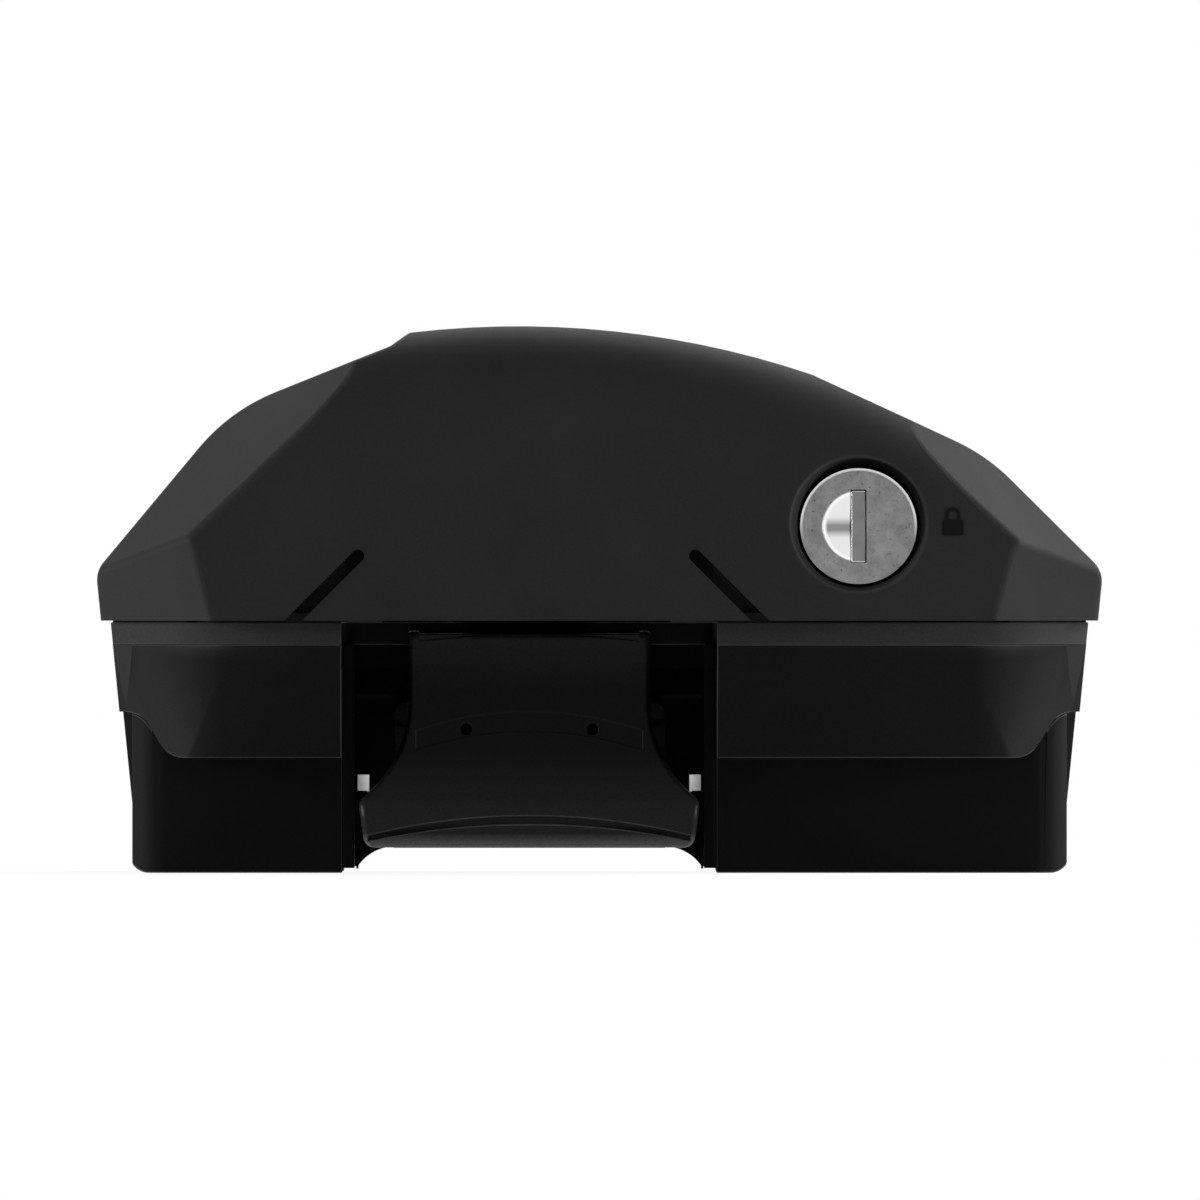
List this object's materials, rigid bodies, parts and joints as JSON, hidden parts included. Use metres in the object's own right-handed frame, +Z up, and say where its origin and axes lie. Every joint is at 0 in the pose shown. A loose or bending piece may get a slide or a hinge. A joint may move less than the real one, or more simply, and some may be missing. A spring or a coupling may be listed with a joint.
{
  "type": "roof bar foot",
  "caption": "Roof bar foot that clamps a raised roof rail: arched locking cover, screw-drawn jaw, rubber-lined rail channel and a T plate that carries the bar.",
  "frame": {"origin": "centre of the bounding box's footprint, at the soles of the leg blocks", "axes": "+X along the roof rail, to the right as the picture shows it; -Y out to the side of the vehicle, towards the viewer; +Y along the bar; +Z up"},
  "size_m": [0.126, 0.072, 0.0685],
  "materials": {
    "cover_plastic": "fine grained",
    "housing_plastic": "fine grained",
    "leg_plastic": "dull",
    "jaw_plastic": "fine grained",
    "rubber": "dull",
    "cast_alloy": "as cast",
    "zinc_steel": "zinc plated",
    "screw_steel": "zinc plated",
    "lock_zinc": "satin",
    "shutter_steel": "satin"
  },
  "bodies": {
    "base": {"lower_housing": "housing_plastic", "left_leg_block": "leg_plastic", "right_leg_block": "leg_plastic", "left_rail_pad": "rubber", "right_rail_pad": "rubber", "carrier_bracket": "cast_alloy", "rear_claw": "zinc_steel", "rear_claw_pad": "rubber", "tension_nut": "zinc_steel", "bar_seat": "housing_plastic", "bar_t_plate": "cast_alloy", "lock_strike": "zinc_steel", "strike_screw": "screw_steel", "leg_screws": "screw_steel", "deck_screws": "screw_steel", "claw_screws": "screw_steel", "bar_plate_screws": "screw_steel"},
    "jaw": {"jaw_hook": "zinc_steel", "jaw_cover": "jaw_plastic", "jaw_pad": "rubber", "jaw_screws": "screw_steel", "thrust_washer": "zinc_steel"},
    "tension_screw": {"tension_screw": "zinc_steel"},
    "cover": {"front_cover": "cover_plastic", "bar_seal": "rubber", "lock_sleeve": "housing_plastic", "lock_clip": "zinc_steel"},
    "lock": {"lock_plug": "lock_zinc", "lock_cam": "zinc_steel", "cam_screw": "screw_steel"},
    "shutter": {"key_shutter": "shutter_steel"}
  },
  "joints": [
    {"name": "jaw_slide", "type": "slide", "parent": "base", "child": "jaw", "axis": [0, -1, 0], "range_m": [0, 0.009]},
    {"name": "screw_turn", "type": "hinge", "parent": "jaw", "child": "tension_screw", "pos_m": [-0.0088, -0.0143, 0.042], "axis": [0, -1, 0], "range_deg": [0, 3241]},
    {"name": "cover_pull", "type": "slide", "parent": "base", "child": "cover", "axis": [0, -0.9063, 0.4226], "range_m": [0, 0.08]},
    {"name": "lock_turn", "type": "hinge", "parent": "cover", "child": "lock", "pos_m": [0.0324, -0.03334, 0.0437], "axis": [0, 0.9925, -0.1219], "range_deg": [0, 90]},
    {"name": "shutter_swing", "type": "hinge", "parent": "lock", "child": "shutter", "pos_m": [0.0331, -0.03066, 0.04337], "axis": [0, -0.1219, -0.9925], "range_deg": [0, 75], "stiffness_Nm_per_rad": 0.0005}
  ],
  "couplings": [
    {"joint": "screw_turn", "follows": "jaw_slide", "rad_per_m": 6283.2}
  ]
}
